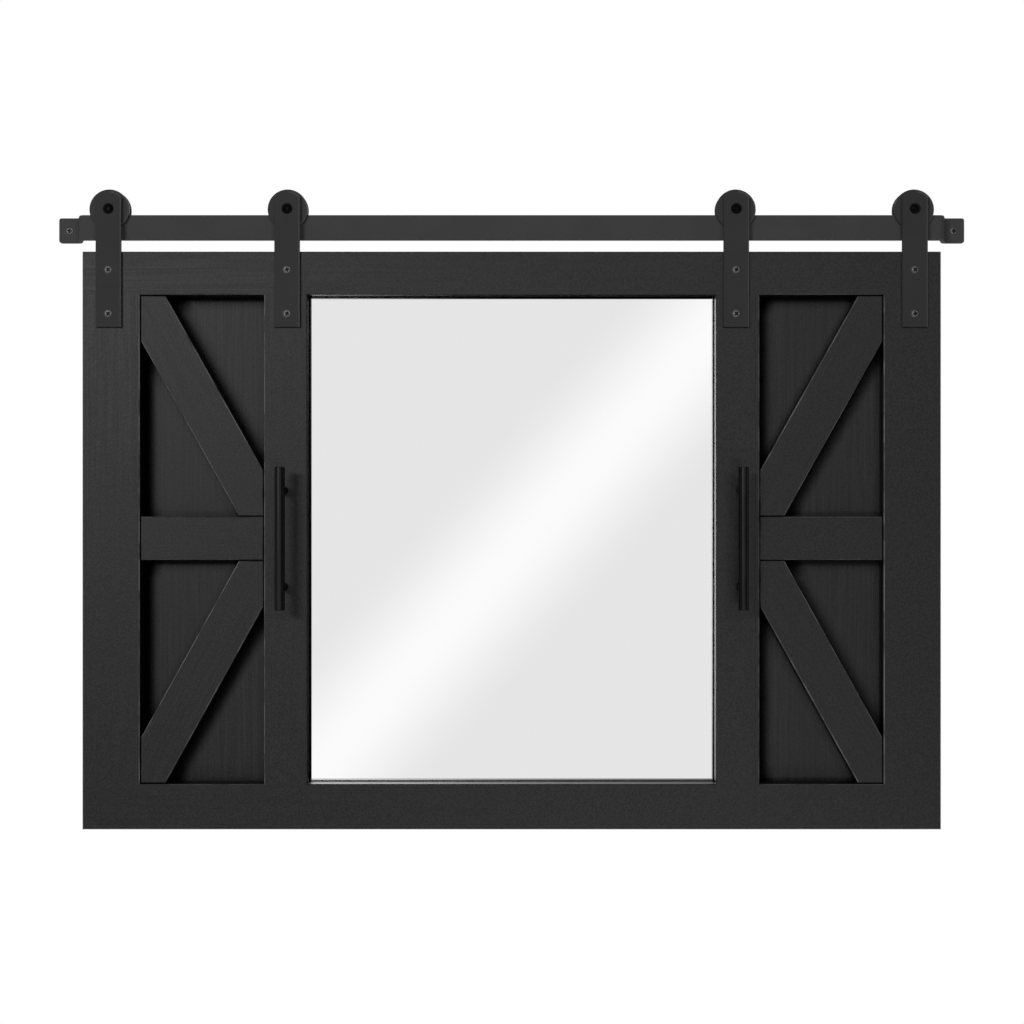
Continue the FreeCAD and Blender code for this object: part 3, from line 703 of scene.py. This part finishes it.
# Boards: how their grain leans, how much of it shows, and the width of the painted shadow beside what
# stands over them
UPRIGHT = 0.0
LEVEL = math.pi / 2
BOARD_FIGURE = 0.15
BRACE_FIGURE = 0.3
PANEL_FIGURE = 0.5
BOARD_SHADOW_REACH = 2 * MM
PANEL_SHADOW_REACH = 19 * MM


class BARNMIRROR_OT_boards(bpy.types.Operator):
    """Painted boards of the frame, its braces and its recessed panels"""
    bl_idname = "barnmirror.boards"
    bl_label = "Boards"

    def execute(self, context):
        settings = context.scene.barnmirror_finish
        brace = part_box("left_upper_brace")
        lean = math.atan2(brace[1].x - brace[0].x, brace[1].z - brace[0].z)
        stiles = [f"{side}_{kind}_stile" for side in SIDES for kind in ("outer", "inner")]
        mid_rails = [f"{side}_mid_rail" for side in SIDES]
        falling = ["left_upper_brace", "right_lower_brace"]
        rising = ["left_lower_brace", "right_upper_brace"]
        panels = [f"{side}_panel" for side in SIDES]
        for name, nodes, turn, face, figure, reach in (
                ("stiles", stiles, UPRIGHT, FRAME_FACE, BOARD_FIGURE, BOARD_SHADOW_REACH),
                ("rails", ["top_rail", "bottom_rail"], LEVEL, FRAME_FACE, BOARD_FIGURE, BOARD_SHADOW_REACH),
                ("mid_rails", mid_rails, LEVEL, BRACE_FACE, BOARD_FIGURE, BOARD_SHADOW_REACH),
                ("falling_braces", falling, -lean, BRACE_FACE, BRACE_FIGURE, BOARD_SHADOW_REACH),
                ("rising_braces", rising, lean, BRACE_FACE, BRACE_FIGURE, BOARD_SHADOW_REACH),
                ("panels", panels, UPRIGHT, PANEL_FACE, PANEL_FIGURE, PANEL_SHADOW_REACH)):
            dress(nodes, painted_pine(f"painted_pine_{name}", turn, face, figure, reach, settings))
        return {"FINISHED"}


class BARNMIRROR_OT_mirror(bpy.types.Operator):
    """Mirror and its backing board"""
    bl_idname = "barnmirror.mirror"
    bl_label = "Mirror"

    def execute(self, context):
        dress(["mirror_glass"], silvered_glass())
        dress(["mirror_backing"], hardboard())
        return {"FINISHED"}


class BARNMIRROR_OT_hangers(bpy.types.Operator):
    """Rail, straps, wheels and their axles"""
    bl_idname = "barnmirror.hangers"
    bl_label = "Rail and hangers"

    def execute(self, context):
        settings = context.scene.barnmirror_finish
        straps = [f"{name}_strap" for name in HANGERS]
        wheels = [f"{name}_wheel" for name in HANGERS]
        for name, nodes, coat, roughness in (
                ("rail", ["wall_rail"], settings.rail_coat, 0.7),
                ("strap", straps, settings.strap_coat, 0.7),
                ("wheel", wheels, settings.wheel_coat, 0.65)):
            dress(nodes, powder_coated_steel(
                f"powder_coated_{name}", coat, settings.edge_highlight_coat, roughness, specular=0.2))
        dress(["axle_bolts"], black_oxide_steel())
        dress(["axle_washers", "axle_nuts"], zinc_plated_steel())
        return {"FINISHED"}


class BARNMIRROR_OT_handles(bpy.types.Operator):
    """Handle bars and the posts under them"""
    bl_idname = "barnmirror.handles"
    bl_label = "Handles"

    def execute(self, context):
        coat = context.scene.barnmirror_finish.handle_coat
        dress([f"{side}_handle_bar" for side in SIDES] + ["handle_posts"], powder_coated_steel(
            "powder_coated_handle", coat, coat, roughness=0.36, specular=0.45, front_highlight=True))
        return {"FINISHED"}


class BARNMIRROR_OT_inner_fittings(bpy.types.Operator):
    """Dowels in the joints of the frame, and felt discs that keep it off the wall"""
    bl_idname = "barnmirror.inner_fittings"
    bl_label = "Dowels and bumpers"

    def execute(self, context):
        dress(["frame_dowels"], beech())
        dress(["wall_bumpers"], felt())
        return {"FINISHED"}


# Sizes of a screw as shares of its head's radius
SCREW_SHARES = {
    "Head Radius": 1.0,
    "Head Depth": 0.65,
    "Crown": 0.14,
    "Neck Radius": 0.55,
    "Shank Radius": 0.48,
    "Shank Start": 0.5,
    "Drive Width": 0.48,
    "Drive Reach": 1.35,
    "Drive Depth": 0.34,
}
HEAD_SEGMENTS = 32
CROWN_RINGS = 4
SHANK_SEGMENTS = 16
CRISP_ANGLE = math.radians(30)
FRONT_FACING = -math.pi / 2
BACK_FACING = math.pi / 2
# Points of a CAD mesh that are closer than this are one, and points of a head below this lie in its face
SAME_POINT = 0.001 * MM
FACE_LEVEL = 0.01 * MM


def solids_of(node):
    """Lowest and highest corner of each separate solid of a CAD node."""
    shape = bmesh.new()
    shape.from_mesh(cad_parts[node].data)
    bmesh.ops.remove_doubles(shape, verts=shape.verts, dist=SAME_POINT)
    boxes, seen = [], set()
    for start in shape.verts:
        if start in seen:
            continue
        seen.add(start)
        reached = [start]
        for vert in reached:
            for other in (edge.other_vert(vert) for edge in vert.link_edges):
                if other not in seen:
                    seen.add(other)
                    reached.append(other)
        places = [vert.co for vert in reached]
        boxes.append((Vector(map(min, *places)), Vector(map(max, *places))))
    shape.free()
    return sorted(boxes, key=lambda box: tuple(box[0]))


def crowned_head(tree, size):
    """A countersunk head with its rim on z = 0 and its neck above. Its face bulges below the rim into a low
    crown, which is marked by an attribute for the wear on it."""
    head = add(tree, "GeometryNodeMeshCone", {"Vertices": HEAD_SEGMENTS, "Fill Segments": CROWN_RINGS},
               {"Radius Bottom": size["Head Radius"], "Radius Top": size["Neck Radius"],
                "Depth": size["Head Depth"]}, fill_type="TRIANGLE_FAN")
    place = add(tree, "ShaderNodeSeparateXYZ", None, {0: add(tree, "GeometryNodeInputPosition")})
    flat = add(tree, "ShaderNodeCombineXYZ", None, {"X": place.outputs["X"], "Y": place.outputs["Y"]})
    out = add(tree, "ShaderNodeVectorMath", None, {0: flat}, operation="LENGTH")
    share = add(tree, "ShaderNodeMath", None, {0: out.outputs["Value"], 1: size["Head Radius"]},
                operation="DIVIDE")
    square = add(tree, "ShaderNodeMath", {1: 2.0}, {0: share}, operation="POWER")
    fall = add(tree, "ShaderNodeMath", {1: 1.0}, {0: square}, operation="SUBTRACT")
    bulge = add(tree, "ShaderNodeMath", None, {0: fall, 1: size["Crown"]}, operation="MULTIPLY")
    on_face = add(tree, "ShaderNodeMath", {1: FACE_LEVEL}, {0: place.outputs["Z"]}, operation="LESS_THAN")
    offset = add(tree, "ShaderNodeCombineXYZ", None, {"Z": bulge})
    crowned = add(tree, "GeometryNodeSetPosition", None,
                  {"Geometry": head.outputs["Mesh"], "Selection": on_face, "Offset": offset})
    return add(tree, "GeometryNodeStoreNamedAttribute", {"Name": "crown", "Value": 1.0},
               {"Geometry": crowned, "Selection": head.outputs["Bottom"]}, data_type="FLOAT", domain="FACE")


def shank_and_drive(tree, size, head):
    """The head on its plain shank, with the cross of the drive cut into its face."""
    shank = add(tree, "GeometryNodeMeshCone", {"Vertices": SHANK_SEGMENTS},
                {"Radius Bottom": size["Shank Radius"], "Radius Top": size["Shank Radius"],
                 "Depth": size["Length"]}, fill_type="NGON")
    start = add(tree, "ShaderNodeCombineXYZ", None, {"Z": size["Shank Start"]})
    under = add(tree, "GeometryNodeTransform", None,
                {"Geometry": shank.outputs["Mesh"], "Translation": start})
    whole = add(tree, "GeometryNodeMeshBoolean", None, {"Mesh": head}, operation="UNION", solver="EXACT")
    tree.links.new(under.outputs[0], whole.inputs["Mesh"])
    cut = add(tree, "GeometryNodeMeshBoolean", None, {"Mesh 1": whole}, operation="DIFFERENCE",
              solver="EXACT")
    depth = add(tree, "ShaderNodeMath", {1: 2.0}, {0: size["Drive Depth"]}, operation="MULTIPLY")
    for along, across in (("Drive Reach", "Drive Width"), ("Drive Width", "Drive Reach")):
        slot = add(tree, "ShaderNodeCombineXYZ", None, {"X": size[along], "Y": size[across], "Z": depth})
        bar = add(tree, "GeometryNodeMeshCube", None, {"Size": slot})
        tree.links.new(bar.outputs["Mesh"], cut.inputs["Mesh 2"])
    return cut


def crisp_edges(tree, shape):
    """Smooth shading that is broken along the sharp edges."""
    smooth = add(tree, "GeometryNodeSetShadeSmooth", None, {0: shape}, domain="FACE")
    angle = add(tree, "GeometryNodeInputMeshEdgeAngle").outputs["Unsigned Angle"]
    sharp = add(tree, "ShaderNodeMath", {1: CRISP_ANGLE}, {0: angle}, operation="GREATER_THAN")
    return add(tree, "GeometryNodeSetShadeSmooth", {"Shade Smooth": False}, {0: smooth, "Selection": sharp},
               domain="EDGE")


def screw_tree():
    """Node tree that sets a cross-head screw on every point, with the rim of its head on the point and its
    drive turned at random."""
    tree = bpy.data.node_groups.new("cross_head_screws", "GeometryNodeTree")
    sockets = tree.interface
    sockets.new_socket("Geometry", in_out="INPUT", socket_type="NodeSocketGeometry")
    for name in (*SCREW_SHARES, "Length", "Turn"):
        sockets.new_socket(name, in_out="INPUT", socket_type="NodeSocketFloat")
    sockets.new_socket("Seed", in_out="INPUT", socket_type="NodeSocketInt")
    sockets.new_socket("Material", in_out="INPUT", socket_type="NodeSocketMaterial")
    sockets.new_socket("Geometry", in_out="OUTPUT", socket_type="NodeSocketGeometry")
    size = add(tree, "NodeGroupInput").outputs
    screw = crisp_edges(tree, shank_and_drive(tree, size, crowned_head(tree, size)))
    points = add(tree, "GeometryNodeMeshToPoints", None, {"Mesh": size["Geometry"]})
    facing = add(tree, "ShaderNodeCombineXYZ", None, {"X": size["Turn"]})
    placed = add(tree, "GeometryNodeInstanceOnPoints", None,
                 {"Points": points, "Instance": screw, "Rotation": facing})
    chance = add(tree, "FunctionNodeRandomValue", {"Min": (0, 0, 0), "Max": (0, 0, math.pi)},
                 {"Seed": size["Seed"]}, data_type="FLOAT_VECTOR")
    spun = add(tree, "GeometryNodeRotateInstances", {"Local Space": True},
               {"Instances": placed, "Rotation": chance})
    real = add(tree, "GeometryNodeRealizeInstances", None, {"Geometry": spun})
    dressed = add(tree, "GeometryNodeSetMaterial", None, {"Geometry": real, "Material": size["Material"]})
    add(tree, "NodeGroupOutput", links={"Geometry": dressed})
    return tree


def screws(name, tree, points, radius, length, turn, seed, material):
    """One mesh of screws with their rims on the points. turn faces the heads."""
    mesh = bpy.data.meshes.new(name)
    mesh.from_pydata(points, [], [])
    piece = bpy.data.objects.new(name, mesh)
    bpy.context.scene.collection.objects.link(piece)
    modifier = piece.modifiers.new("screws", "NODES")
    modifier.node_group = tree
    values = {size: share * radius for size, share in SCREW_SHARES.items()}
    values.update(Length=length - values["Shank Start"], Turn=turn, Seed=seed, Material=material)
    for item in tree.interface.items_tree:
        if item.in_out == "INPUT" and item.name in values:
            modifier[item.identifier] = values[item.name]
    graph = bpy.context.evaluated_depsgraph_get()
    made = bpy.data.meshes.new_from_object(piece.evaluated_get(graph), depsgraph=graph)
    piece.modifiers.clear()
    piece.data = made
    bpy.data.meshes.remove(mesh)
    made.name = name
    return piece


def strap_screws(tree, settings, steel):
    """Screws in the straps, in place of the plain ones of the CAD model."""
    boxes = solids_of("strap_screws")
    heads = [((low.x + high.x) / 2, low.y, (low.z + high.z) / 2) for low, high in boxes]
    low, high = boxes[0]
    piece = screws("strap_screws_cross_head", tree, heads, settings.strap_head, high.y - low.y,
                   FRONT_FACING, seed=3, material=steel)
    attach(piece, "mirror_frame")
    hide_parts("strap_screws")


def wall_screws(tree, settings, steel):
    """Screws that hold the tabs of the rail to the wall."""
    low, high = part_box("wall_rail")
    front = high.y - settings.tab_thickness + settings.wall_head_sunk
    middle = (low.z + high.z) / 2
    heads = [(x, front, middle) for x in (low.x + settings.wall_hole, high.x - settings.wall_hole)]
    piece = screws("wall_screws_cross_head", tree, heads, settings.wall_head, high.y - front,
                   FRONT_FACING, seed=5, material=steel)
    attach(piece, "rail")


def back_screws(node, tree, seed, steel):
    """Screws in the back, in place of the plain ones of a CAD node."""
    boxes = solids_of(node)
    heads = [((low.x + high.x) / 2, high.y, (low.z + high.z) / 2) for low, high in boxes]
    low, high = boxes[0]
    piece = screws(node + "_cross_head", tree, heads, (high.x - low.x) / 2, high.y - low.y, BACK_FACING,
                   seed, steel)
    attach(piece, "mirror_frame")
    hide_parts(node)


class BARNMIRROR_OT_screws(bpy.types.Operator):
    """Cross-head screws of the straps, the wall tabs and the back"""
    bl_idname = "barnmirror.screws"
    bl_label = "Screws"

    def execute(self, context):
        settings = context.scene.barnmirror_fasteners
        tree = screw_tree()
        black = blackened_screw_steel()
        strap_screws(tree, settings, black)
        wall_screws(tree, settings, black)
        zinc = zinc_plated_steel()
        for node, seed in (("panel_screws", 7), ("backing_screws", 11), ("handle_screws", 13)):
            back_screws(node, tree, seed, zinc)
        return {"FINISHED"}


STEPS = (
    BARNMIRROR_OT_stage,
    BARNMIRROR_OT_boards,
    BARNMIRROR_OT_mirror,
    BARNMIRROR_OT_hangers,
    BARNMIRROR_OT_handles,
    BARNMIRROR_OT_inner_fittings,
    BARNMIRROR_OT_screws,
)
GROUPS = {
    "barnmirror_finish": FinishSettings,
    "barnmirror_fasteners": FastenerSettings,
    "barnmirror_stage": StageSettings,
}


class BARNMIRROR_PT_panel(bpy.types.Panel):
    """Settings, and the steps that dress the mirror"""
    bl_label = "Barn mirror"
    bl_idname = "BARNMIRROR_PT_panel"
    bl_space_type = "VIEW_3D"
    bl_region_type = "UI"
    bl_category = "Barn mirror"

    def draw(self, context):
        for group, kind in GROUPS.items():
            for name in kind.__annotations__:
                self.layout.prop(getattr(context.scene, group), name)
        for step in STEPS:
            self.layout.operator(step.bl_idname)


def register():
    for kind in (*GROUPS.values(), *STEPS, BARNMIRROR_PT_panel):
        bpy.utils.register_class(kind)
    for name, kind in GROUPS.items():
        setattr(bpy.types.Scene, name, PointerProperty(type=kind))


def unregister():
    for name in GROUPS:
        delattr(bpy.types.Scene, name)
    for kind in (BARNMIRROR_PT_panel, *reversed(STEPS), *GROUPS.values()):
        bpy.utils.unregister_class(kind)


def main():
    register()
    bpy.ops.barnmirror.stage()
    bpy.ops.barnmirror.boards()
    bpy.ops.barnmirror.mirror()
    bpy.ops.barnmirror.hangers()
    bpy.ops.barnmirror.handles()
    bpy.ops.barnmirror.inner_fittings()
    bpy.ops.barnmirror.screws()


if __name__ == "__main__":
    main()
